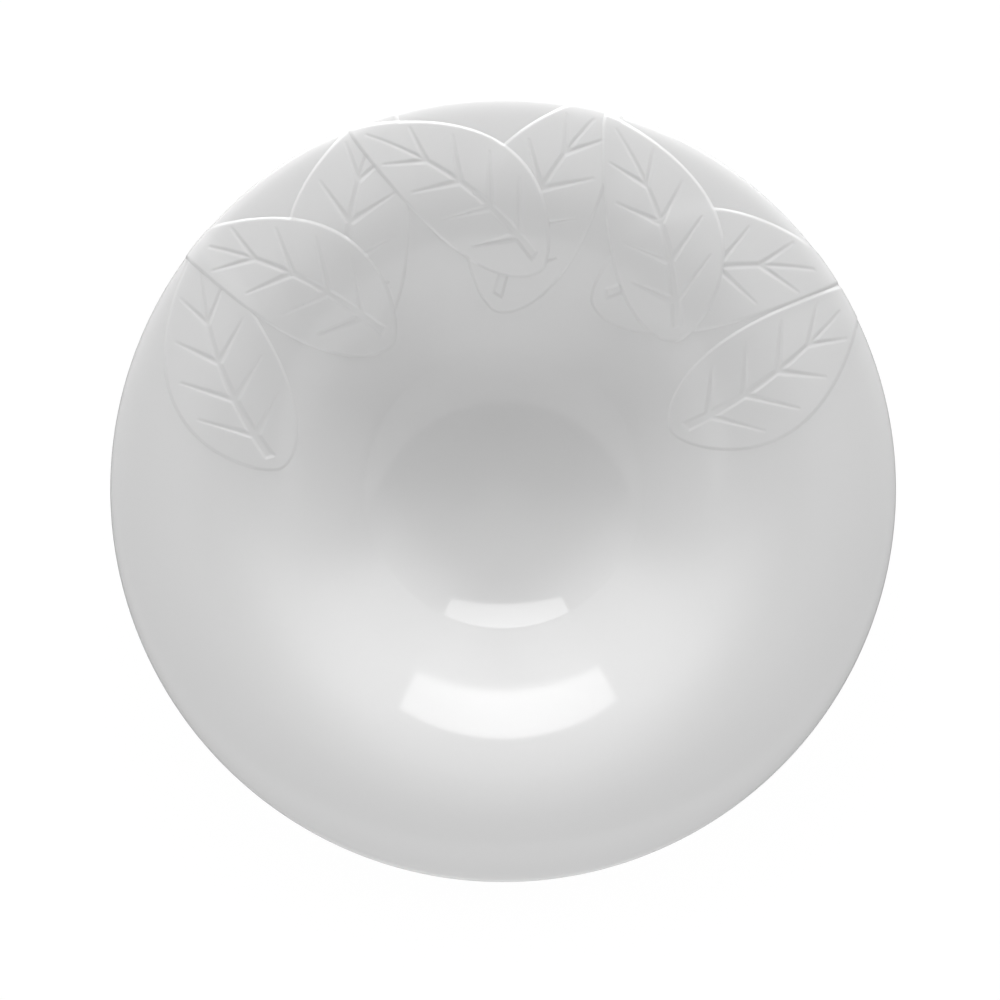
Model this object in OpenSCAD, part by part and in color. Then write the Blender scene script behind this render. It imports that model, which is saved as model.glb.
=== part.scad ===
// Wide-rim pasta bowl in glazed porcelain, with a foot ring and a relief of leaves on its rim.
// Lengths are in millimetres and slopes in degrees. +Z is up, the origin is at the centre of the
// circle that the foot ring stands on, and the relief lies towards +Y.

/* [Bowl] */
// Diameter over the lip
rim_d = 300; // [260:1:340]
// Diameter of the shallow part of the floor, out to where it bends up
floor_d = 68; // [56:1:80]
// Diameter of the crease between the floor and the wall
crease_d = 107; // [96:1:114]
// Width of the drooping rim, from its highest circle out to the lip
rim_w = 26; // [18:1:30]
// Width of the nearly level band inside the highest circle
crown_w = 9.5; // [6:0.5:12]
// Width of the shoulder, where the wall turns into the rim
shoulder_w = 9.5; // [6:0.5:12]
// Width of the band below the shoulder, where the wall starts to turn
brow_w = 9; // [6:0.5:12]
// Slope at the edge of the shallow part of the floor
floor_slope = 18; // [12:1:22]
// Slope of the floor where it meets the crease
floor_edge_slope = 31.5; // [26:0.5:33]
// Slope of the wall where it leaves the crease
wall_foot_slope = 35; // [34:0.5:42]
// Slope of the wall higher up, where it starts to ease off
wall_head_slope = 32.8; // [29:0.2:35]
// Slope of the wall at the lower edge of the brow
brow_slope = 25.8; // [22:0.2:28]
// Slope at the lower edge of the shoulder
shoulder_slope = 18.4; // [12:0.2:20]
// Slope at the inner edge of the crown
crown_slope = 6.4; // [4:0.2:9]
// Downward slope of the rim at the lip
lip_slope = 9.5; // [5:0.5:14]
// Thickness of the floor at its centre
floor_t = 5; // [4:0.5:7]
// Thickness of the lip
lip_t = 3.8; // [3:0.2:5]

/* [Foot ring] */
// Diameter of the middle of the standing face
foot_d = 88; // [76:1:96]
// Width of the flat face that the bowl stands on
foot_face_w = 3; // [2:0.5:5]
// Width of the ring where it joins the bowl
foot_root_w = 8; // [6:0.5:12]
// Gap between the table and the underside of the floor, at the centre
foot_recess = 4.6; // [4:0.2:8]
// Radius of the ring's two lower edges
foot_edge_r = 1; // [0.4:0.2:1.6]

/* [Leaves] */
// Height of the lower leaves above the rim
under_h = 0.7; // [0.5:0.1:1]
// Height of the upper leaves above the rim
over_h = 1.3; // [1.1:0.1:2]
// Length of the longest leaf
leaf_l = 98; // [80:1:104]
// Width of the longest leaf
leaf_w = 46; // [34:1:50]
// Distance from the lip in to the middle of each leaf
leaf_inset = 37; // [30:1:42]
// Distance along the rim between the middles of neighbouring leaves
leaf_pitch = 35; // [32:1:40]
// Width of the recessed midrib at the foot of a leaf
midrib_w = 3.6; // [2:0.2:4.8]
// Width of a recessed side vein at the midrib
vein_w = 3; // [1.6:0.2:4]
// Number of side veins on each half of a leaf
vein_count = 4; // [3:1:6]
// Width that stays free of veins along the lip and round the floor
plain_edge_w = 5; // [3:1:8]

/* [Hidden] */
$fn = 96;

// What each leaf is, from the one furthest towards -X: how far it is moved along the row as a share
// of the pitch, the turn of its tip from straight outwards, and whether it lies over its neighbours
leaf_nudge_shares = [0.05, 0.2, 0, 0.12, -0.12, -0.08, -0.15, -0.08];
leaf_tilts = [-44, 18, -36, 44, -20, 46, -38, 12];
leaf_over = [false, true, false, true, false, true, false, true];
// Length of each leaf as a share of the longest, and the bow of its midrib as a share of its length
leaf_length_shares = [0.94, 0.94, 1, 0.92, 1, 0.92, 1, 0.94];
leaf_bow_shares = [0.09, -0.08, 0.08, -0.09, 0.08, -0.08, 0.08, -0.07];
// How a leaf swells from its foot to its tip: below 1 moves the widest place towards the foot,
// and below 1 makes the sides fuller
leaf_belly_share = 0.75;
leaf_fullness_share = 0.8;
// Stretches of a leaf that its midrib and the feet of its side veins take, how far a vein runs on
// towards the leaf's tip, and how near it comes to the leaf's edge
midrib_span_shares = [0.06, 0.93];
vein_span_shares = [0.16, 0.66];
vein_run_share = 0.14;
vein_reach_share = 0.76;
outline_steps = 16;

// Where the wall starts to ease off, as a share of the way from the crease to the brow
wall_head_share = 0.58;

// Overrun that lets one shape pass clean through another
overrun = 2;

rim_r = rim_d / 2;
crest_r = rim_r - rim_w;
crown_r = crest_r - crown_w;
shoulder_r = crown_r - shoulder_w;
brow_r = shoulder_r - brow_w;
crease_r = crease_d / 2;
floor_r = floor_d / 2;
lip_bead_r = lip_t / 2;
foot_r = foot_d / 2;
floor_z = foot_recess + floor_t;

// Stations of the upper surface, from the centre outwards: radius, slope before, and slope after.
// Only the crease has two slopes.
stations = [
    [0, 0, 0],
    [floor_r, floor_slope, floor_slope],
    [crease_r, floor_edge_slope, wall_foot_slope],
    [crease_r + (brow_r - crease_r) * wall_head_share, wall_head_slope, wall_head_slope],
    [brow_r, brow_slope, brow_slope],
    [shoulder_r, shoulder_slope, shoulder_slope],
    [crown_r, crown_slope, crown_slope],
    [crest_r, 0, 0],
    [rim_r - lip_bead_r * (1 - sin(lip_slope)), -lip_slope, -lip_slope],
];
band_count = len(stations) - 1;
band_steps = 4;
bead_steps = 12;

// The slope changes evenly across the band between two stations, and the height adds up from the
// centre. A sample of the upper surface is [radius, height, slope].
function band_r(i, k) = stations[i][0] + (stations[i + 1][0] - stations[i][0]) * k / band_steps;
function band_slope(i, k) = stations[i][2] + (stations[i + 1][1] - stations[i][2]) * k / band_steps;
function band_rise(i, k) =
    k == 0 ? 0
    : band_rise(i, k - 1)
        + (band_r(i, k) - band_r(i, k - 1)) * tan((band_slope(i, k) + band_slope(i, k - 1)) / 2);
function station_z(i) = i == 0 ? floor_z : station_z(i - 1) + band_rise(i - 1, band_steps);
function band_samples(i, first) = [
    for (k = [first : band_steps])
        [band_r(i, k), station_z(i) + band_rise(i, k), band_slope(i, k)]
];
floor_samples = concat(band_samples(0, 0), band_samples(1, 1));
wall_samples = [for (i = [2 : band_count - 1]) each band_samples(i, 1)];
top_samples = concat(floor_samples, wall_samples);
// The underside turns round the crease, so it takes the crease with both of its slopes
under_samples = concat(floor_samples, [band_samples(2, 0)[0]], wall_samples);
lip = top_samples[len(top_samples) - 1];

// The wall is measured square to the upper surface and thins steadily from the centre to the lip
function wall_t(r) = floor_t + (lip_t - floor_t) * r / lip[0];
function off_surface(s, h) = [s[0] - h * sin(s[2]), s[1] + h * cos(s[2])];
underside = [for (s = under_samples) off_surface(s, -wall_t(s[0]))];

// The lip is a round bead, from the upper surface round to the underside
lip_centre = off_surface(lip, -lip_bead_r);
function lip_point(turn, h) = lip_centre + (lip_bead_r + h) * [cos(turn), sin(turn)];
function lip_turn(k) = 90 + lip[2] - 180 * k / bead_steps;
lip_bead = [for (k = [1 : bead_steps - 1]) lip_point(lip_turn(k), 0)];
// The relief wraps over the bead as far as the bowl's widest circle
wrap_steps = floor((90 + lip[2]) * bead_steps / 180);

function reversed(list) = [for (i = [len(list) - 1 : -1 : 0]) list[i]];

module bowl_body() {
    color([0.94, 0.94, 0.93])
        rotate_extrude()
            polygon(concat([for (s = top_samples) [s[0], s[1]]], lip_bead, reversed(underside)));
}

// The foot ring stands on a flat face with rounded edges and widens up to the bowl's underside
foot_in_r = foot_r - foot_root_w / 2;
foot_out_r = foot_r + foot_root_w / 2;
foot_edge_steps = 4;

function underside_z(r) = lookup(r, underside);
function foot_edge(side) = [
    for (k = [0 : foot_edge_steps])
        let (turn = 90 * k / foot_edge_steps)
            [
                foot_r + side * (foot_face_w / 2 + foot_edge_r * sin(turn)),
                foot_edge_r * (1 - cos(turn)),
            ]
];

module foot_ring() {
    color([0.9, 0.89, 0.87])
        rotate_extrude()
            polygon(concat(
                foot_edge(1),
                [[foot_out_r, underside_z(foot_out_r)]],
                reversed([for (p = underside) if (p[0] > foot_in_r && p[0] < foot_out_r) p]),
                [[foot_in_r, underside_z(foot_in_r)]],
                reversed(foot_edge(-1))
            ));
}

// Leaf shapes are drawn flat, seen from above, with t running from 0 at the foot to 1 at the tip
function leaf_length(i) = leaf_l * leaf_length_shares[i];
function leaf_half_w(i, t) =
    leaf_w / 2 * leaf_length_shares[i] * pow(sin(180 * pow(t, leaf_belly_share)), leaf_fullness_share);
function midrib_y(i, t) = leaf_length(i) * leaf_bow_shares[i] * 4 * t * (1 - t);
function leaf_point(i, t, y) = [(t - 1 / 2) * leaf_length(i), midrib_y(i, t) + y];
// The points of a side lie closer together towards both ends of the leaf
function leaf_side(i, side) = [
    for (k = [0 : outline_steps - 1])
        let (t = (1 - side * cos(180 * k / outline_steps)) / 2)
            leaf_point(i, t, side * leaf_half_w(i, t))
];

leaf_r = rim_r - leaf_inset;
leaf_count = len(leaf_tilts);
pitch_turn = leaf_pitch / leaf_r * 180 / PI;

// The row is spread evenly about +Y
function leaf_azimuth(i) = 90 + pitch_turn * ((leaf_count - 1) / 2 - i + leaf_nudge_shares[i]);

module place_leaf(i) {
    rotate(leaf_azimuth(i))
        translate([leaf_r, 0])
            rotate(leaf_tilts[i])
                children();
}

module leaf_outline(i) {
    place_leaf(i)
        polygon(concat(leaf_side(i, 1), leaf_side(i, -1)));
}

module midrib(i) {
    ends = midrib_span_shares;
    half_w = midrib_w / 2;
    steps = outline_steps / 2;
    function rib_t(k) = ends[0] + (ends[1] - ends[0]) * k / steps;
    function rib_side(side) = [
        for (k = [0 : steps - 1])
            leaf_point(i, rib_t(k), side * half_w * (1 - k / steps))
    ];
    polygon(concat(rib_side(1), [leaf_point(i, ends[1], 0)], reversed(rib_side(-1))));
}

module side_vein(i, t, side) {
    half_t = vein_w / leaf_length(i) / 2;
    end_t = t + vein_run_share;
    polygon([
        leaf_point(i, t - half_t, 0),
        leaf_point(i, t + half_t, 0),
        leaf_point(i, end_t, side * vein_reach_share * leaf_half_w(i, end_t)),
    ]);
}

module leaf_veins(i) {
    span = vein_span_shares;
    intersection() {
        difference() {
            circle(rim_r - plain_edge_w);
            circle(floor_r + plain_edge_w);
        }
        place_leaf(i) {
            midrib(i);
            for (k = [0 : vein_count - 1], side = [-1, 1])
                side_vein(i, span[0] + (span[1] - span[0]) * k / (vein_count - 1), side);
        }
    }
}

// The layer that the leaves of one height are cut from, lying on the bowl's upper surface
module relief_layer(h) {
    inner_r = max(floor_r, leaf_r - leaf_l / 2 - overrun);
    path = [for (s = top_samples) if (s[0] > inner_r) s];
    turns = [for (k = [1 : wrap_steps]) lip_turn(k)];
    rotate_extrude()
        polygon(concat(
            [for (s = path) [s[0], s[1]]],
            [for (turn = turns) lip_point(turn, 0)],
            reversed([for (turn = turns) lip_point(turn, h)]),
            reversed([for (s = path) off_surface(s, h)])
        ));
}

module whole_leaf(i) {
    crest_z = station_z(band_count - 1);
    intersection() {
        relief_layer(leaf_over[i] ? over_h : under_h);
        linear_extrude(crest_z + over_h + overrun)
            difference() {
                leaf_outline(i);
                leaf_veins(i);
            }
    }
}

// An upper leaf lies on the bowl and over the lower leaves on both sides of it
module leaf(i) {
    color([0.94, 0.94, 0.93])
        if (leaf_over[i])
            difference() {
                whole_leaf(i);
                for (k = [i - 1, i + 1])
                    if (k < leaf_count)
                        whole_leaf(k);
            }
        else
            whole_leaf(i);
}

bowl_body();
foot_ring();
for (i = [0 : leaf_count - 1])
    leaf(i);
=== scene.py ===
import math

import bpy
import numpy as np
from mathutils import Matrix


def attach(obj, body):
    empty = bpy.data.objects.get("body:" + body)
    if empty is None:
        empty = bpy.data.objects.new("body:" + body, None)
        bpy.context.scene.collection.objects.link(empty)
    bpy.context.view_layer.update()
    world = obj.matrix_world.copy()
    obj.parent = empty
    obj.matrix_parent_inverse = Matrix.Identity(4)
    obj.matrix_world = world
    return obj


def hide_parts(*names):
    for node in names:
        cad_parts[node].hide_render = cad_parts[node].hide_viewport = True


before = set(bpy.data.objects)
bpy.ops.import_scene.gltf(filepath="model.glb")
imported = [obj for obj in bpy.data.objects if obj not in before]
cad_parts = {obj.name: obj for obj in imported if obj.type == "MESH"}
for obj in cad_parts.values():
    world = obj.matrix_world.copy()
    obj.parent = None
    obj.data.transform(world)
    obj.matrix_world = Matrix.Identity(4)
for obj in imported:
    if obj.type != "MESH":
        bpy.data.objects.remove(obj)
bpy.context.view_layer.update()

# Lengths are in metres and slopes in radians. The sizes are those of the CAD model, but for the
# leaves' height, which is lower here, and the crease's radius, which is 0.2 mm more.
MM = 0.001
RIM_R = 150 * MM
FLOOR_R = 34 * MM
CREASE_R = 53.7 * MM
RIM_W = 26 * MM
CROWN_W = 9.5 * MM
SHOULDER_W = 9.5 * MM
BROW_W = 9 * MM
FLOOR_SLOPE = math.radians(18)
FLOOR_EDGE_SLOPE = math.radians(31.5)
WALL_FOOT_SLOPE = math.radians(35)
WALL_HEAD_SLOPE = math.radians(32.8)
BROW_SLOPE = math.radians(25.8)
SHOULDER_SLOPE = math.radians(18.4)
CROWN_SLOPE = math.radians(6.4)
LIP_SLOPE = math.radians(9.5)
WALL_HEAD_SHARE = 0.58
FLOOR_T = 5 * MM
LIP_T = 3.8 * MM
FOOT_R = 44 * MM
FOOT_FACE_W = 3 * MM
FOOT_ROOT_W = 8 * MM
FOOT_RECESS = 4.6 * MM
FOOT_EDGE_R = 1 * MM
FOOT_FILLET = 3 * MM
FOOT_BURY = 1.25 * MM

LEAF_H = 0.5 * MM
LEAF_L = 98 * MM
LEAF_W = 46 * MM
LEAF_INSET = 37 * MM
LEAF_PITCH = 35 * MM
MIDRIB_W = 3.6 * MM
VEIN_W = 3 * MM
VEIN_COUNT = 4
PLAIN_EDGE_W = 5 * MM
LEAF_NUDGES = (0.05, 0.2, 0, 0.12, -0.12, -0.08, -0.15, -0.08)
LEAF_TILTS = (-44, 18, -36, 44, -20, 46, -38, 12)
LEAF_LENGTHS = (0.94, 0.94, 1, 0.92, 1, 0.92, 1, 0.94)
LEAF_BOWS = (0.09, -0.08, 0.08, -0.09, 0.08, -0.08, 0.08, -0.07)
LEAF_BELLY = 0.75
LEAF_FULLNESS = 0.8
MIDRIB_SPAN = (0.06, 0.93)
VEIN_SPAN = (0.16, 0.66)
VEIN_RUN = 0.14
VEIN_REACH = 0.76

# How the glaze softens the shape: the reach over which the slope evens out, half the width of the
# crease, the width over which the lip rolls down and how steep it gets there, the width of a
# relief's step, the width over which an upper leaf settles on a lower one, and how deep a vein is
# as a share of its leaf
SLOPE_SOFT = 6 * MM
CREASE_SOFT = 0.5 * MM
ROLL_W = 4.5 * MM
ROLL_SLOPE = math.radians(26)
STEP_W = 1.35 * MM
DRAPE_W = 10 * MM
VEIN_DEPTH = 0.85

# Fineness of the meshes
TABLE_STEP = 0.25 * MM
RING_STEP = 1 * MM
CREASE_STEPS = 16
UNDERSIDE_STEPS = 399
SEGMENTS = 480
BEAD_STEPS = 18
FOOT_EDGE_STEPS = 6
FOOT_WALL_STEPS = 6
FOOT_FILLET_STEPS = 8

# A leaf's mesh is a patch of a polar grid, made of blocks of small cells. It reaches a margin beyond
# the leaf, and past the outermost point of the bead. It dips below the body's surface beside the
# leaf, and its underside is buried in the wall.
CELL = 0.45 * MM
BLOCK = 4
MARGIN = 0.6 * MM
WRAP = math.radians(10)
DIP = 0.03 * MM
BURY = 0.6 * MM


# The upper surface

def smooth(x):
    x = np.clip(x, 0, 1)
    return x * x * (3 - 2 * x)


def slope_stations():
    """Radius and slope of the upper surface where its bands meet, from the centre outwards, as if
    the crease had no bend of its own."""
    crest = RIM_R - RIM_W
    crown = crest - CROWN_W
    shoulder = crown - SHOULDER_W
    brow = shoulder - BROW_W
    bend = WALL_FOOT_SLOPE - FLOOR_EDGE_SLOPE
    return (
        (0, 0),
        (FLOOR_R, FLOOR_SLOPE),
        (CREASE_R, FLOOR_EDGE_SLOPE),
        (CREASE_R + (brow - CREASE_R) * WALL_HEAD_SHARE, WALL_HEAD_SLOPE - bend),
        (brow, BROW_SLOPE - bend),
        (shoulder, SHOULDER_SLOPE - bend),
        (crown, CROWN_SLOPE - bend),
        (crest, -bend),
        (RIM_R - ROLL_W, -LIP_SLOPE * (1 - ROLL_W / RIM_W) - bend),
        (RIM_R - LIP_T / 2 * (1 - math.sin(ROLL_SLOPE)), -ROLL_SLOPE - bend),
    )


def profile_table():
    """Radii of the upper surface, with its height and its slope at each."""
    station_r, station_slopes = np.array(slope_stations()).T
    radii = np.linspace(0, station_r[-1], round(station_r[-1] / TABLE_STEP) + 1)
    slopes = np.interp(radii, station_r, station_slopes)
    half = round(SLOPE_SOFT / TABLE_STEP)
    padded = np.pad(slopes, half, mode="reflect", reflect_type="odd")
    # A Hann window without the zeros at its ends
    kernel = np.hanning(2 * half + 3)[1:-1]
    slopes = np.convolve(padded, kernel / kernel.sum(), mode="valid")
    past_crease = smooth((radii - CREASE_R) / CREASE_SOFT / 2 + 0.5)
    slopes += (WALL_FOOT_SLOPE - FLOOR_EDGE_SLOPE) * past_crease
    rise = (np.tan(slopes[1:]) + np.tan(slopes[:-1])) / 2 * np.diff(radii)
    heights = FOOT_RECESS + FLOOR_T + np.concatenate(([0], np.cumsum(rise)))
    return radii, heights, slopes


RADII, HEIGHTS, SLOPES = profile_table()
LIP_R, LIP_Z, LIP_ANGLE = RADII[-1], HEIGHTS[-1], SLOPES[-1]
BEAD_R = LIP_T / 2
BEAD_CENTRE = (LIP_R + BEAD_R * math.sin(LIP_ANGLE), LIP_Z - BEAD_R * math.cos(LIP_ANGLE))


def upper(run):
    """Radius and height of the glazed surface, and its normal, at a run from the axis. The run is
    the radius as far as the lip, and from there on the length round the bead is added."""
    run = np.asarray(run, float)
    slope = np.interp(run, RADII, SLOPES)
    turn = math.pi / 2 + LIP_ANGLE - (run - LIP_R) / BEAD_R
    on_bead = run > LIP_R
    r = np.where(on_bead, BEAD_CENTRE[0] + BEAD_R * np.cos(turn), run)
    z = np.where(on_bead, BEAD_CENTRE[1] + BEAD_R * np.sin(turn), np.interp(run, RADII, HEIGHTS))
    normal_r = np.where(on_bead, np.cos(turn), -np.sin(slope))
    normal_z = np.where(on_bead, np.sin(turn), np.cos(slope))
    return r, z, normal_r, normal_z


def lower(radii):
    """Radius and height of the underside, below the given radii of the upper surface."""
    r, z, normal_r, normal_z = upper(radii)
    wall = FLOOR_T + (LIP_T - FLOOR_T) * np.asarray(radii) / LIP_R
    return r - wall * normal_r, z - wall * normal_z


# The relief, drawn flat with the run and the azimuth as polar coordinates

def leaf_points(i, t, across):
    """Points of leaf i, at shares t of its length and at distances across its midrib."""
    length = LEAF_L * LEAF_LENGTHS[i]
    x = (t - 0.5) * length
    y = length * LEAF_BOWS[i] * 4 * t * (1 - t) + across
    leaf_r = RIM_R - LEAF_INSET
    tilt = math.radians(LEAF_TILTS[i])
    place = (len(LEAF_TILTS) - 1) / 2 - i + LEAF_NUDGES[i]
    azimuth = math.pi / 2 + LEAF_PITCH / leaf_r * place
    points = (x + 1j * y) * np.exp(1j * tilt) + leaf_r
    points = points * np.exp(1j * azimuth)
    return np.stack([points.real, points.imag], axis=-1)


def half_width(i, t):
    swell = np.sin(math.pi * np.asarray(t) ** LEAF_BELLY).clip(0)
    return LEAF_W / 2 * LEAF_LENGTHS[i] * swell ** LEAF_FULLNESS


def leaf_outline(i, steps=40):
    t = (1 - np.cos(np.linspace(0, math.pi, steps + 1))) / 2
    one_side = leaf_points(i, t, half_width(i, t))
    other_side = leaf_points(i, t, -half_width(i, t))
    return np.concatenate([one_side[:-1], other_side[:0:-1]])


def leaf_veins(i, steps=12):
    """The midrib and the side veins of leaf i, as wedges."""
    k = np.arange(steps + 1) / steps
    rib_t = MIDRIB_SPAN[0] + (MIDRIB_SPAN[1] - MIDRIB_SPAN[0]) * k
    rib_w = MIDRIB_W / 2 * (1 - k)
    one_side, other_side = leaf_points(i, rib_t, rib_w), leaf_points(i, rib_t, -rib_w)
    wedges = [np.concatenate([one_side, other_side[-2::-1]])]
    half_t = VEIN_W / (LEAF_L * LEAF_LENGTHS[i]) / 2
    for t in np.linspace(*VEIN_SPAN, VEIN_COUNT):
        end = t + VEIN_RUN
        reach = VEIN_REACH * half_width(i, end)
        for side in (-1, 1):
            ts = np.array([t - half_t, t + half_t, end])
            wedges.append(leaf_points(i, ts, np.array([0, 0, side * reach])))
    return wedges


def depth_inside(points, polygon):
    """Distance of each point from the polygon's edge, positive inside it."""
    a = polygon
    b = np.roll(polygon, -1, axis=0)
    edge = b - a
    off = points[:, None] - a
    share = np.clip((off * edge).sum(-1) / (edge ** 2).sum(-1), 0, 1)
    gap = np.sqrt(((off - share[..., None] * edge) ** 2).sum(-1)).min(1)
    y = points[:, None, 1]
    spans = (a[:, 1] <= y) != (b[:, 1] <= y)
    with np.errstate(divide="ignore", invalid="ignore"):
        cross_x = a[:, 0] + (y - a[:, 1]) * edge[:, 0] / edge[:, 1]
    inside = (spans & (points[:, None, 0] < cross_x)).sum(1) % 2 == 1
    return np.where(inside, gap, -gap)


def is_over(i):
    return i % 2 == 1


def leaf_rise(i, points):
    """How far leaf i rises at each point, from 0 beside it to 1 on it, and how deep its veins are."""
    rise = smooth(depth_inside(points, leaf_outline(i)) / STEP_W + 0.5)
    run = np.hypot(points[:, 0], points[:, 1])
    veins = np.max([depth_inside(points, wedge) for wedge in leaf_veins(i)], axis=0)
    room = np.minimum(RIM_R - PLAIN_EDGE_W - run, run - FLOOR_R - PLAIN_EDGE_W)
    return rise, VEIN_DEPTH * smooth(np.minimum(veins, room) / STEP_W + 0.5)


def relief(i, points):
    """Height of leaf i above the glazed surface. An upper leaf is draped over the leaves that it
    lies on, and hides their veins."""
    rise, veins = leaf_rise(i, points)
    if not is_over(i):
        return LEAF_H * rise * (1 - veins)
    base = np.zeros(len(points))
    drape = np.zeros(len(points))
    for k in (i - 1, i + 1):
        if k < len(LEAF_TILTS):
            lower_rise, lower_veins = leaf_rise(k, points)
            base = np.maximum(base, LEAF_H * lower_rise * (1 - lower_veins * (1 - rise)))
            settled = smooth(depth_inside(points, leaf_outline(k)) / DRAPE_W + 0.5)
            drape = np.maximum(drape, LEAF_H * settled)
    return base * (1 - rise) + (drape + LEAF_H * (1 - veins)) * rise


# Meshes

def add_mesh(name, vertices, faces, smooth_faces=None):
    mesh = bpy.data.meshes.new(name)
    mesh.from_pydata([tuple(v) for v in vertices], [], faces)
    shade = np.ones(len(faces), bool) if smooth_faces is None else smooth_faces
    mesh.polygons.foreach_set("use_smooth", shade)
    mesh.validate()
    mesh.update()
    piece = bpy.data.objects.new(name, mesh)
    bpy.context.scene.collection.objects.link(piece)
    return piece


def revolve(name, outline, looped):
    """Turns an outline of (radius, height) about the axis. Where it isn't looped, it starts and
    ends on the axis."""
    turns = np.arange(SEGMENTS) / SEGMENTS * 2 * math.pi
    ends = [] if looped else [outline[0], outline[-1]]
    rings = outline if looped else outline[1:-1]
    vertices = [(r * math.cos(a), r * math.sin(a), z) for r, z in rings for a in turns]
    count = len(rings)
    faces = []
    for ring in range(count if looped else count - 1):
        here, there = ring * SEGMENTS, (ring + 1) % count * SEGMENTS
        for k in range(SEGMENTS):
            after = (k + 1) % SEGMENTS
            faces.append((here + k, there + k, there + after, here + after))
    for end, ring in zip(ends, (0, count - 1)):
        centre = len(vertices)
        vertices.append((0, 0, end[1]))
        for k in range(SEGMENTS):
            rim = [ring * SEGMENTS + k, ring * SEGMENTS + (k + 1) % SEGMENTS]
            faces.append((centre, *(rim if ring == 0 else rim[::-1])))
    return add_mesh(name, vertices, faces)


def make_body():
    plain = np.linspace(0, LIP_R, round(LIP_R / RING_STEP) + 1)
    away = plain[np.abs(plain - CREASE_R) > 2 * CREASE_SOFT]
    near = CREASE_R + np.linspace(-2, 2, CREASE_STEPS + 1) * CREASE_SOFT
    radii = np.sort(np.concatenate([away, near]))
    bead = LIP_R + BEAD_R * math.pi * np.arange(1, BEAD_STEPS) / BEAD_STEPS
    r, z, _, _ = upper(np.concatenate([radii, bead]))
    under_r, under_z = lower(radii[::-1])
    outline = list(zip(np.concatenate([r, under_r]), np.concatenate([z, under_z])))
    return revolve("bowl_body_glazed", outline, looped=False)


def underside_height(r):
    radii = np.linspace(0, LIP_R, UNDERSIDE_STEPS + 1)
    under_r, under_z = lower(radii)
    return float(np.interp(r, under_r, under_z))


def foot_side(side):
    """The outline of one side of the foot ring, from the standing face to the underside."""
    flat = FOOT_R + side * FOOT_FACE_W / 2
    turns = np.linspace(0, math.pi / 2, FOOT_EDGE_STEPS + 1)
    edge = [(flat + side * FOOT_EDGE_R * math.sin(a), FOOT_EDGE_R * (1 - math.cos(a))) for a in turns]
    low = np.array(edge[-1])
    root_r = FOOT_R + side * FOOT_ROOT_W / 2
    root = np.array([root_r, underside_height(root_r)])
    start = root + (low - root) / np.linalg.norm(low - root) * FOOT_FILLET
    end_r = root_r + side * FOOT_FILLET
    end = np.array([end_r, underside_height(end_r)])
    wall = [low + (start - low) * k / FOOT_WALL_STEPS for k in range(1, FOOT_WALL_STEPS)]
    steps = np.linspace(0, 1, FOOT_FILLET_STEPS + 1)
    bend = [start * (1 - s) ** 2 + root * 2 * s * (1 - s) + end * s ** 2 for s in steps]
    inside = np.array([end_r, end[1] + FOOT_BURY])
    return [tuple(p) for p in [*edge, *wall, *bend, inside]]


def make_foot():
    middle = FOOT_FACE_W * np.linspace(-0.5, 0.5, 5)[1:-1]
    face = [(FOOT_R + x, 0) for x in middle]
    outline = face + foot_side(1) + foot_side(-1)[::-1]
    return revolve("foot_ring_turned", outline[::-1], looped=True)


def patch_grid(outline):
    """Runs and azimuths of the grid's points round an outline. All leaves share the grid's lines."""
    size = CELL * BLOCK
    turn = size / (RIM_R - LEAF_INSET)
    wrap_end = LIP_R + BEAD_R * (math.pi / 2 + LIP_ANGLE + WRAP)
    runs = np.hypot(outline[:, 0], outline[:, 1])
    angles = np.arctan2(outline[:, 1], outline[:, 0])
    rows = math.ceil((wrap_end - runs.min() + 2 * size) / size)
    first = math.floor(angles.min() / turn) - 1
    columns = math.ceil(angles.max() / turn) + 1 - first
    run_lines = wrap_end - size / BLOCK * np.arange(rows * BLOCK, -1, -1)
    angle_lines = turn / BLOCK * (first * BLOCK + np.arange(columns * BLOCK + 1))
    return np.meshgrid(run_lines, angle_lines, indexing="ij")


def blocks_with(points):
    """The blocks that have a marked point inside them or on their edge."""
    rows, columns = (n // BLOCK for n in points.shape)
    blocks = np.zeros((rows, columns), bool)
    for a in range(BLOCK + 1):
        for b in range(BLOCK + 1):
            blocks |= points[a:a + rows * BLOCK:BLOCK, b:b + columns * BLOCK:BLOCK]
    return blocks


def corners_of(cells):
    """The points that are a corner of a marked cell."""
    rows, columns = cells.shape
    points = np.zeros((rows + 1, columns + 1), bool)
    for a in (0, 1):
        for b in (0, 1):
            points[a:a + rows, b:b + columns] |= cells
    return points


def over_surface(run, angle, height):
    """Points at a height over the glazed surface."""
    r, z, normal_r, normal_z = upper(run)
    out = r + height * normal_r
    return np.stack([out * np.cos(angle), out * np.sin(angle), z + height * normal_z], axis=-1)


def leaf_patch(i):
    """The blocks and the cells of leaf i's patch, and the grids of points of its top and underside."""
    outline = leaf_outline(i)
    run, angle = patch_grid(outline)
    flat = np.stack([run * np.cos(angle), run * np.sin(angle)], axis=-1)
    depth = depth_inside(flat.reshape(-1, 2), outline).reshape(run.shape)
    blocks = blocks_with(depth > -(STEP_W / 2 + MARGIN))
    cells = np.repeat(np.repeat(blocks, BLOCK, 0), BLOCK, 1)
    used = corners_of(cells)
    height = np.zeros(run.shape)
    height[used] = relief(i, flat[used])
    fade = smooth((run.max() - run) / STEP_W)
    beyond = np.clip(-depth - STEP_W / 2, 0, None)
    top = over_surface(run, angle, height * fade - DIP - beyond / 2)
    coarse = slice(None, None, BLOCK)
    underside = over_surface(run[coarse, coarse], angle[coarse, coarse], -BURY)
    return blocks, cells, top, underside


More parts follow.
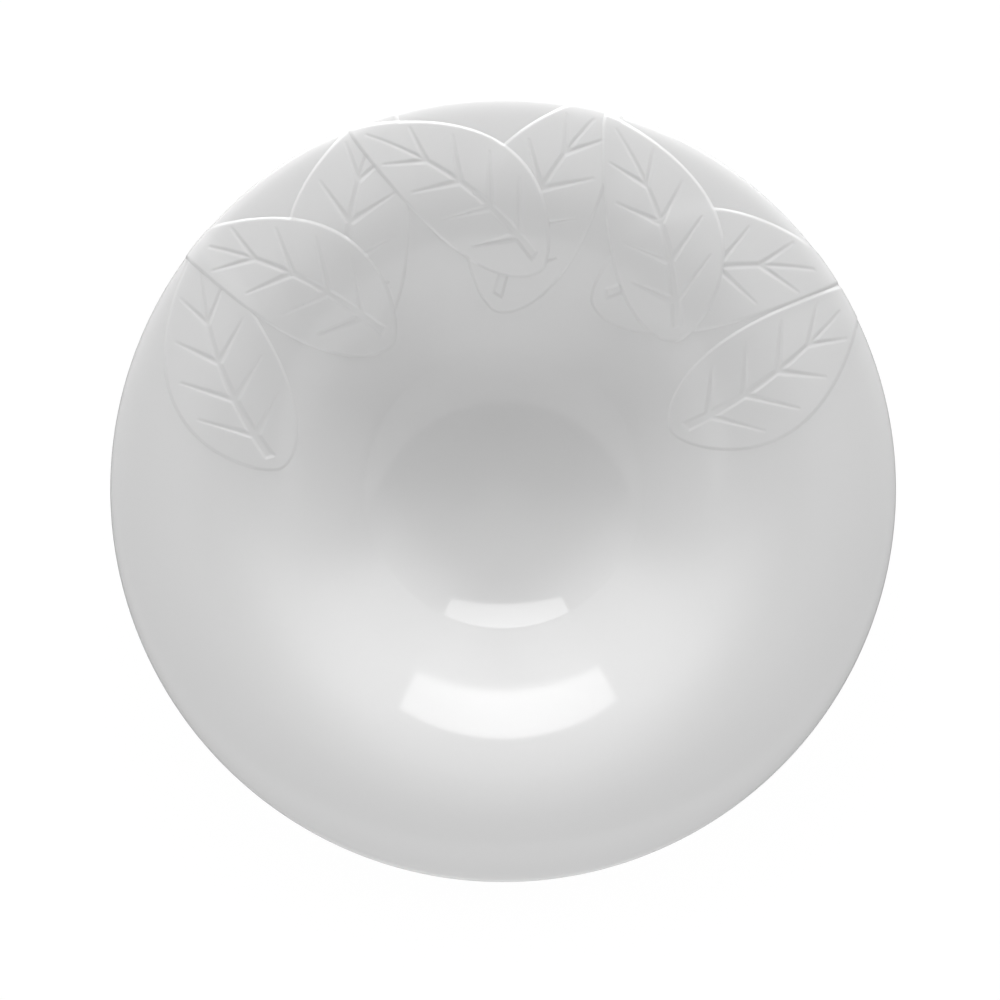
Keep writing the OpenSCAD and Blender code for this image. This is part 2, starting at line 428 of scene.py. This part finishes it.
def leaf_faces(blocks, cells, top_shape, low_shape):
    """Faces of the patch: fine quads on top, a quad a block below, and walls round the edge. The
    fine quads come first, and their count is given too."""
    shift = top_shape[0] * top_shape[1]

    def top(a, b):
        return a * top_shape[1] + b

    def low(a, b):
        return shift + a * low_shape[1] + b

    faces = [
        (top(a, b), top(a + 1, b), top(a + 1, b + 1), top(a, b + 1))
        for a, b in np.argwhere(cells)
    ]
    visible = len(faces)
    # Block (a, b) is at (a + 1, b + 1) here, with its neighbours round it
    padded = np.pad(blocks, 1)
    steps = range(BLOCK + 1)
    for a, b in np.argwhere(blocks):
        faces.append((low(a, b), low(a, b + 1), low(a + 1, b + 1), low(a + 1, b)))
        fine_a, fine_b = a * BLOCK, b * BLOCK
        if not padded[a + 1, b]:
            edge = [top(fine_a + BLOCK - s, fine_b) for s in reversed(steps)]
            faces.append((*edge, low(a, b), low(a + 1, b)))
        if not padded[a + 1, b + 2]:
            edge = [top(fine_a + s, fine_b + BLOCK) for s in steps]
            faces.append((*edge, low(a + 1, b + 1), low(a, b + 1)))
        if not padded[a, b + 1]:
            edge = [top(fine_a, fine_b + s) for s in steps]
            faces.append((*edge, low(a, b + 1), low(a, b)))
        if not padded[a + 2, b + 1]:
            edge = [top(fine_a + BLOCK, fine_b + s) for s in reversed(steps)]
            faces.append((*edge, low(a + 1, b), low(a + 1, b + 1)))
    return faces, visible


def make_leaf(i):
    blocks, cells, top, underside = leaf_patch(i)
    faces, visible = leaf_faces(blocks, cells, top.shape, underside.shape)
    vertices = np.concatenate([top.reshape(-1, 3), underside.reshape(-1, 3)])
    numbers = np.unique(np.concatenate([np.array(f) for f in faces]))
    renumber = np.zeros(len(vertices), int)
    renumber[numbers] = np.arange(len(numbers))
    faces = [tuple(renumber[list(f)].tolist()) for f in faces]
    shade = np.arange(len(faces)) < visible
    return add_mesh(f"leaf_{i + 1}_glazed", vertices[numbers], faces, shade)


# Materials

# The glaze's tones and the fired clay's, with their roughness, and how far the glaze's roughness goes
# either way
GLAZE_WHITE = (0.80, 0.80, 0.80)
GLAZE_SHADE = (0.785, 0.785, 0.785)
GLAZE_ROUGH = 0.06
GLAZE_ROUGH_RANGE = 0.015
BISCUIT = (0.70, 0.68, 0.64)
BISCUIT_ROUGH = 0.75
GLAZE_IOR = 1.5
# Scales of the clouds in the glaze's tone and in its gloss, and the noise that gives the least and
# the most roughness
TONE_SCALE = 25
GLOSS_SCALE = 60
GLOSS_NOISE = (0.3, 0.7)
# The glaze's swell and grain and the clay's grit: scale and detail of the noise, height and strength
# of the bump
SWELL = (45, 1, 0.04 * MM, 0.5)
GRAIN = (700, 3, 0.004 * MM, 0.4)
GRIT = (2500, 4, 0.03 * MM, 0.5)
# How far up the glaze is wiped off the foot, how sharp its end is, and how far and how finely the
# end wavers
WIPED_UP = 0.8 * MM
WIPED_SOFT = 0.05 * MM
WIPED_WAVER = 0.6 * MM
WIPED_SCALE = 180


def shader(name, base, roughness):
    material = bpy.data.materials.new(name)
    material.use_nodes = True
    nodes, links = material.node_tree.nodes, material.node_tree.links
    surface = nodes["Principled BSDF"]
    surface.inputs["Base Color"].default_value = (*base, 1)
    surface.inputs["Roughness"].default_value = roughness
    surface.inputs["IOR"].default_value = GLAZE_IOR
    return material, nodes, links, surface


def empty_material(name):
    """A material without a shader, with its nodes, its links and the socket for its surface."""
    material = bpy.data.materials.new(name)
    material.use_nodes = True
    nodes, links = material.node_tree.nodes, material.node_tree.links
    nodes.clear()
    return material, nodes, links, nodes.new("ShaderNodeOutputMaterial").inputs["Surface"]


def feed(links, socket, value):
    """Sets a socket to a number, or links another node's output to it."""
    if isinstance(value, (int, float)):
        socket.default_value = value
    else:
        links.new(value, socket)


def math_node(nodes, links, operation, *inputs):
    node = nodes.new("ShaderNodeMath")
    node.operation = operation
    for socket, value in zip(node.inputs, inputs):
        feed(links, socket, value)
    return node.outputs[0]


def split_xyz(nodes, links, vector):
    node = nodes.new("ShaderNodeSeparateXYZ")
    links.new(vector, node.inputs["Vector"])
    return node.outputs


def noise(nodes, links, place, scale, detail=2.0):
    texture = nodes.new("ShaderNodeTexNoise")
    texture.inputs["Scale"].default_value = scale
    texture.inputs["Detail"].default_value = detail
    links.new(place, texture.inputs["Vector"])
    return texture.outputs["Fac"]


def remap(nodes, links, value, low, high, to_low, to_high):
    node = nodes.new("ShaderNodeMapRange")
    node.interpolation_type = "SMOOTHSTEP"
    for key, number in zip(("From Min", "From Max", "To Min", "To Max"), (low, high, to_low, to_high)):
        node.inputs[key].default_value = number
    links.new(value, node.inputs["Value"])
    return node.outputs["Result"]


def mix_colour(nodes, links, share, colour_a, colour_b):
    node = nodes.new("ShaderNodeMix")
    node.data_type = "RGBA"
    links.new(share, node.inputs["Factor"])
    node.inputs["A"].default_value = (*colour_a, 1)
    node.inputs["B"].default_value = (*colour_b, 1)
    return node.outputs["Result"]


def bump(nodes, links, place, texture, before=None):
    scale, detail, distance, strength = texture
    node = nodes.new("ShaderNodeBump")
    node.inputs["Distance"].default_value = distance
    node.inputs["Strength"].default_value = strength
    links.new(noise(nodes, links, place, scale, detail), node.inputs["Height"])
    if before is not None:
        links.new(before, node.inputs["Normal"])
    return node.outputs["Normal"]


def add_shaders(nodes, links, one, other):
    node = nodes.new("ShaderNodeAddShader")
    links.new(one.outputs[0], node.inputs[0])
    links.new(other.outputs[0], node.inputs[1])
    return node


def by_ray(nodes, links, to_camera, to_others):
    """The socket of a shader that is one to the camera and another to all other light."""
    choose = nodes.new("ShaderNodeMixShader")
    links.new(nodes.new("ShaderNodeLightPath").outputs["Is Camera Ray"], choose.inputs["Fac"])
    links.new(to_others.outputs[0], choose.inputs[1])
    links.new(to_camera.outputs[0], choose.inputs[2])
    return choose.outputs[0]


def porcelain():
    """White glaze: glossy, with a faint unevenness of its tone, its gloss and its surface."""
    material, nodes, links, surface = shader("porcelain_glaze", GLAZE_WHITE, GLAZE_ROUGH)
    place = nodes.new("ShaderNodeTexCoord").outputs["Object"]
    clouds = noise(nodes, links, place, TONE_SCALE)
    links.new(mix_colour(nodes, links, clouds, GLAZE_SHADE, GLAZE_WHITE), surface.inputs["Base Color"])
    gloss = noise(nodes, links, place, GLOSS_SCALE)
    least, most = GLAZE_ROUGH - GLAZE_ROUGH_RANGE, GLAZE_ROUGH + GLAZE_ROUGH_RANGE
    links.new(remap(nodes, links, gloss, *GLOSS_NOISE, least, most), surface.inputs["Roughness"])
    swell = bump(nodes, links, place, SWELL)
    links.new(bump(nodes, links, place, GRAIN, swell), surface.inputs["Normal"])
    return material


def foot_finish():
    """The same glaze, wiped off the standing face, where the fired clay shows."""
    material, nodes, links, surface = shader("foot_ring_finish", GLAZE_WHITE, GLAZE_ROUGH)
    place = nodes.new("ShaderNodeTexCoord").outputs["Object"]
    height = split_xyz(nodes, links, place)["Z"]
    waver = noise(nodes, links, place, WIPED_SCALE)
    ragged = math_node(nodes, links, "MULTIPLY_ADD", waver, WIPED_WAVER, height)
    bare = remap(nodes, links, ragged, WIPED_UP - WIPED_SOFT, WIPED_UP + WIPED_SOFT, 1, 0)
    links.new(mix_colour(nodes, links, bare, GLAZE_WHITE, BISCUIT), surface.inputs["Base Color"])
    roughness = remap(nodes, links, bare, 0, 1, GLAZE_ROUGH, BISCUIT_ROUGH)
    links.new(roughness, surface.inputs["Roughness"])
    links.new(bump(nodes, links, place, GRIT), surface.inputs["Normal"])
    return material


# The bowl

def dress(piece, node, material):
    piece.data.materials.append(material)
    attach(piece, "root")
    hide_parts(node)


glaze = porcelain()
dress(make_body(), "bowl_body", glaze)
dress(make_foot(), "foot_ring", foot_finish())
for number in range(len(LEAF_TILTS)):
    dress(make_leaf(number), f"leaf_{number + 1}", glaze)


# The table, the light and the camera

TABLE_SIZE = 8.0
# To the camera: its own glow, and the tone in which the bowl's shadow shows
TABLE_GLOW = 0.965
TABLE_TONE = 0.06
# To all other light: its tone under the bowl, the painted shade at both sides that darkens the bowl's
# edges there, and where that shade begins and is whole
PLAIN_TONE = 0.5
SIDE_PAINTED_SHADE = 0.06
SIDE_FROM = 0.12
SIDE_TO = 0.2


def flat_sheet(name, half_w, y_from, y_to, z, finish):
    corners = [(-half_w, y_from, z), (half_w, y_from, z), (half_w, y_to, z), (-half_w, y_to, z)]
    sheet = add_mesh(name, corners, [(0, 1, 2, 3)])
    sheet.data.materials.append(finish)
    return sheet


def table_finish():
    """White to the camera, with a trace of shadow. To all other light it is grey, with painted shade at
    both sides, which darkens the bowl's edges there."""
    material, nodes, links, surface = empty_material("white_table")
    place = nodes.new("ShaderNodeTexCoord").outputs["Object"]
    aside = math_node(nodes, links, "ABSOLUTE", split_xyz(nodes, links, place)["X"])
    # Painted shade: to all other light the table is dark at both sides
    card_light_and_painted_shade = remap(nodes, links, aside, SIDE_FROM, SIDE_TO, 0, 1)
    plain = nodes.new("ShaderNodeBsdfDiffuse")
    tones = mix_colour(nodes, links, card_light_and_painted_shade, (PLAIN_TONE,) * 3, (SIDE_PAINTED_SHADE,) * 3)
    links.new(tones, plain.inputs["Color"])
    faint = nodes.new("ShaderNodeBsdfDiffuse")
    faint.inputs["Color"].default_value = (TABLE_TONE, TABLE_TONE, TABLE_TONE, 1)
    glow = nodes.new("ShaderNodeEmission")
    glow.inputs["Strength"].default_value = TABLE_GLOW
    links.new(by_ray(nodes, links, add_shaders(nodes, links, faint, glow), plain), surface)
    return material


def make_table():
    half = TABLE_SIZE / 2
    table = flat_sheet("table_top", half, -half, half, 0, table_finish())


# The room's light, by direction: soft lobes that fade from their middle out to their width. Each has
# its angle from the zenith, its azimuth from +X, its width, its level, and whether the other side of
# the room has the same.
ROOM = (
    (90, 90, 45, 1.26, False),
    (90, 90, 22, 2.29, False),
    (90, 270, 45, 1.17, False),
    (90, 270, 70, 1.16, False),
    (40, 40, 30, 0.52, True),
    (85, 40, 30, 0.77, True),
    (85, 40, 55, 1.66, True),
    (0, 0, 15, 0.17, False),
    (15, 90, 20, 0.47, False),
    (90, 180, 60, 0.14, False),
    (0, 0, 60, 0.08, False),
)
# Cards at both sides, which hide the room behind them: how far aside they begin and are whole
CARD_FROM = 0.76
CARD_TO = 0.93
CARD_LEVEL = 0.54
# The softbox behind the bowl: its lower edge is at one angle from the zenith all along, and its
# upper edge is straight. It is brightest in its middle. The softness of its edges is an angle for
# the sides, a height for the lower edge and a slope for the upper one.
BOX_LOW = 63.7
BOX_HIGH = 49.4
BOX_MIDDLE = 91.5
BOX_HALF_W = 26.9
BOX_LEVEL = 4.0
BOX_SIDE_LEVEL = 3.1
BOX_SOFT = 0.012
BOX_HIGH_SOFT = 0.04
# Below this height the upper edge's slope isn't worked out, as the box doesn't reach so low
LEAST_Z = 0.1


def direction(zenith, azimuth):
    zenith, azimuth = math.radians(zenith), math.radians(azimuth)
    level = math.sin(zenith)
    return level * math.cos(azimuth), level * math.sin(azimuth), math.cos(zenith)


def lobe(nodes, links, way, zenith, azimuth, width, level):
    dot = nodes.new("ShaderNodeVectorMath")
    dot.operation = "DOT_PRODUCT"
    links.new(way, dot.inputs[0])
    dot.inputs[1].default_value = direction(zenith, azimuth)
    return remap(nodes, links, dot.outputs["Value"], math.cos(math.radians(width)), 1, 0, level)


def softbox(nodes, links, x, y, z):
    azimuth = math_node(nodes, links, "ARCTAN2", y, x)
    off = math_node(nodes, links, "SUBTRACT", azimuth, math.radians(BOX_MIDDLE))
    off = math_node(nodes, links, "ABSOLUTE", off)
    half_w = math.radians(BOX_HALF_W)
    sides = remap(nodes, links, off, half_w + BOX_SOFT, half_w - BOX_SOFT, 0, 1)
    level = remap(nodes, links, off, 0, half_w, BOX_LEVEL, BOX_SIDE_LEVEL)
    low = math.cos(math.radians(BOX_LOW))
    bottom = remap(nodes, links, z, low - BOX_SOFT, low + BOX_SOFT, 0, 1)
    high = math.tan(math.radians(BOX_HIGH))
    reach = math_node(nodes, links, "DIVIDE", y, math_node(nodes, links, "MAXIMUM", z, LEAST_Z))
    top = remap(nodes, links, reach, high - BOX_HIGH_SOFT, high + BOX_HIGH_SOFT, 0, 1)
    total = math_node(nodes, links, "MULTIPLY", sides, level)
    total = math_node(nodes, links, "MULTIPLY", total, bottom)
    return math_node(nodes, links, "MULTIPLY", total, top)


def room_level(nodes, links, way):
    """The level of the room's light from a direction."""
    x, y, z = split_xyz(nodes, links, way)
    aside = math_node(nodes, links, "ABSOLUTE", x)
    folded = nodes.new("ShaderNodeCombineXYZ")
    for socket, value in zip(folded.inputs, (aside, y, z)):
        links.new(value, socket)
    total = softbox(nodes, links, x, y, z)
    for *shape, both_sides in ROOM:
        part = lobe(nodes, links, folded.outputs[0] if both_sides else way, *shape)
        total = math_node(nodes, links, "ADD", total, part)
    beside = remap(nodes, links, aside, CARD_FROM, CARD_TO, 1, 0)
    card_light_and_painted_shade = remap(nodes, links, aside, CARD_FROM, CARD_TO, 0, CARD_LEVEL)
    return math_node(nodes, links, "ADD", math_node(nodes, links, "MULTIPLY", total, beside), card_light_and_painted_shade)


def background(nodes, links, strength):
    node = nodes.new("ShaderNodeBackground")
    node.inputs["Color"].default_value = (1, 1, 1, 1)
    feed(links, node.inputs["Strength"], strength)
    return node


def make_room():
    world = bpy.data.worlds.new("room")
    world.use_nodes = True
    bpy.context.scene.world = world
    nodes, links = world.node_tree.nodes, world.node_tree.links
    nodes.clear()
    out = nodes.new("ShaderNodeOutputWorld")
    way = nodes.new("ShaderNodeTexCoord").outputs["Generated"]
    light = background(nodes, links, room_level(nodes, links, way))
    white = background(nodes, links, 1)
    links.new(by_ray(nodes, links, white, light), out.inputs["Surface"])


# A pale panel that lies flat over the table in front of the bowl, and that shows in the glaze's
# gloss alone. Its edge towards the bowl is bowed and sharp. These are its height, how far before
# the axis the edge is at its middle, how much the edge bows, how far the panel reaches beyond the
# edge, its half width, the shares of both at which it begins to fade, its level and how soft the
# edge is.
PANEL_UP = 0.33
PANEL_EDGE = 0.19
PANEL_BOW = 1.2
PANEL_DEPTH = 0.4
PANEL_HALF_W = 0.52
PANEL_FADE_DEPTH = 0.3
PANEL_FADE_W = 0.8
PANEL_LEVEL = 0.6
PANEL_SOFT = 0.002


def panel_glow(nodes, links, x, y):
    across = math_node(nodes, links, "ABSOLUTE", x)
    bowed = math_node(nodes, links, "MULTIPLY", math_node(nodes, links, "MULTIPLY", x, x), PANEL_BOW)
    reach = math_node(nodes, links, "SUBTRACT", bowed, y)
    begun = remap(nodes, links, reach, PANEL_EDGE - PANEL_SOFT, PANEL_EDGE + PANEL_SOFT, 0, PANEL_LEVEL)
    fade_from = PANEL_EDGE + PANEL_DEPTH * PANEL_FADE_DEPTH
    fade = remap(nodes, links, reach, fade_from, PANEL_EDGE + PANEL_DEPTH, 1, 0)
    inside = remap(nodes, links, across, PANEL_HALF_W * PANEL_FADE_W, PANEL_HALF_W, 1, 0)
    return math_node(nodes, links, "MULTIPLY", math_node(nodes, links, "MULTIPLY", begun, fade), inside)


def panel_finish():
    """Adds the panel's glow to the light that comes from behind it."""
    material, nodes, links, surface = empty_material("pale_panel")
    x, y, _ = split_xyz(nodes, links, nodes.new("ShaderNodeTexCoord").outputs["Object"])
    glow = nodes.new("ShaderNodeEmission")
    links.new(panel_glow(nodes, links, x, y), glow.inputs["Strength"])
    clear = nodes.new("ShaderNodeBsdfTransparent")
    links.new(add_shaders(nodes, links, clear, glow).outputs[0], surface)
    return material


def make_panel():
    near = PANEL_BOW * PANEL_HALF_W ** 2 - PANEL_EDGE
    far = -PANEL_EDGE - PANEL_DEPTH
    panel = flat_sheet("front_panel", PANEL_HALF_W, far, near, PANEL_UP, panel_finish())
    panel.visible_camera = False
    panel.visible_diffuse = False
    panel.visible_shadow = False


# Low lamps behind and before the bowl, which light the lip there: their distance from the rim, their
# height above the table, their width and height, and the level of each
LAMP_GAP = 0.10
LAMP_UP = 0.04
LAMP_SIZE = (0.30, 0.04)
BACK_LAMP_LEVEL = 5.2
FRONT_LAMP_LEVEL = 1.3


def make_lamp(name, side, level):
    data = bpy.data.lights.new(name, "AREA")
    data.shape = "RECTANGLE"
    data.size, data.size_y = LAMP_SIZE
    data.energy = level * math.pi * data.size * data.size_y
    lamp = bpy.data.objects.new(name, data)
    lamp.location = (0, side * (RIM_R + LAMP_GAP), LAMP_UP)
    lamp.rotation_euler = (-side * math.pi / 2, 0, 0)
    lamp.visible_camera = False
    bpy.context.scene.collection.objects.link(lamp)


# The camera looks straight down. The bowl's axis and the width of its rim are places in the photo.
FRAME_PX = 1000
AXIS_PX = (503.1, 489.2)
RIM_PX = 785.7
CAMERA_UP = 2.4
SENSOR_W = 36.0


def make_camera():
    metres_per_px = 2 * RIM_R / RIM_PX
    data = bpy.data.cameras.new("camera")
    data.sensor_width = SENSOR_W
    data.lens = SENSOR_W * CAMERA_UP / (FRAME_PX * metres_per_px)
    camera = bpy.data.objects.new("camera", data)
    camera.location = (
        (FRAME_PX / 2 - AXIS_PX[0]) * metres_per_px,
        (AXIS_PX[1] - FRAME_PX / 2) * metres_per_px,
        BEAD_CENTRE[1] + CAMERA_UP,
    )
    bpy.context.scene.collection.objects.link(camera)
    bpy.context.scene.camera = camera


make_table()
make_room()
make_panel()
make_lamp("back_lamp", 1, BACK_LAMP_LEVEL)
make_lamp("front_lamp", -1, FRONT_LAMP_LEVEL)
make_camera()
bpy.context.scene.view_settings.view_transform = "Standard"
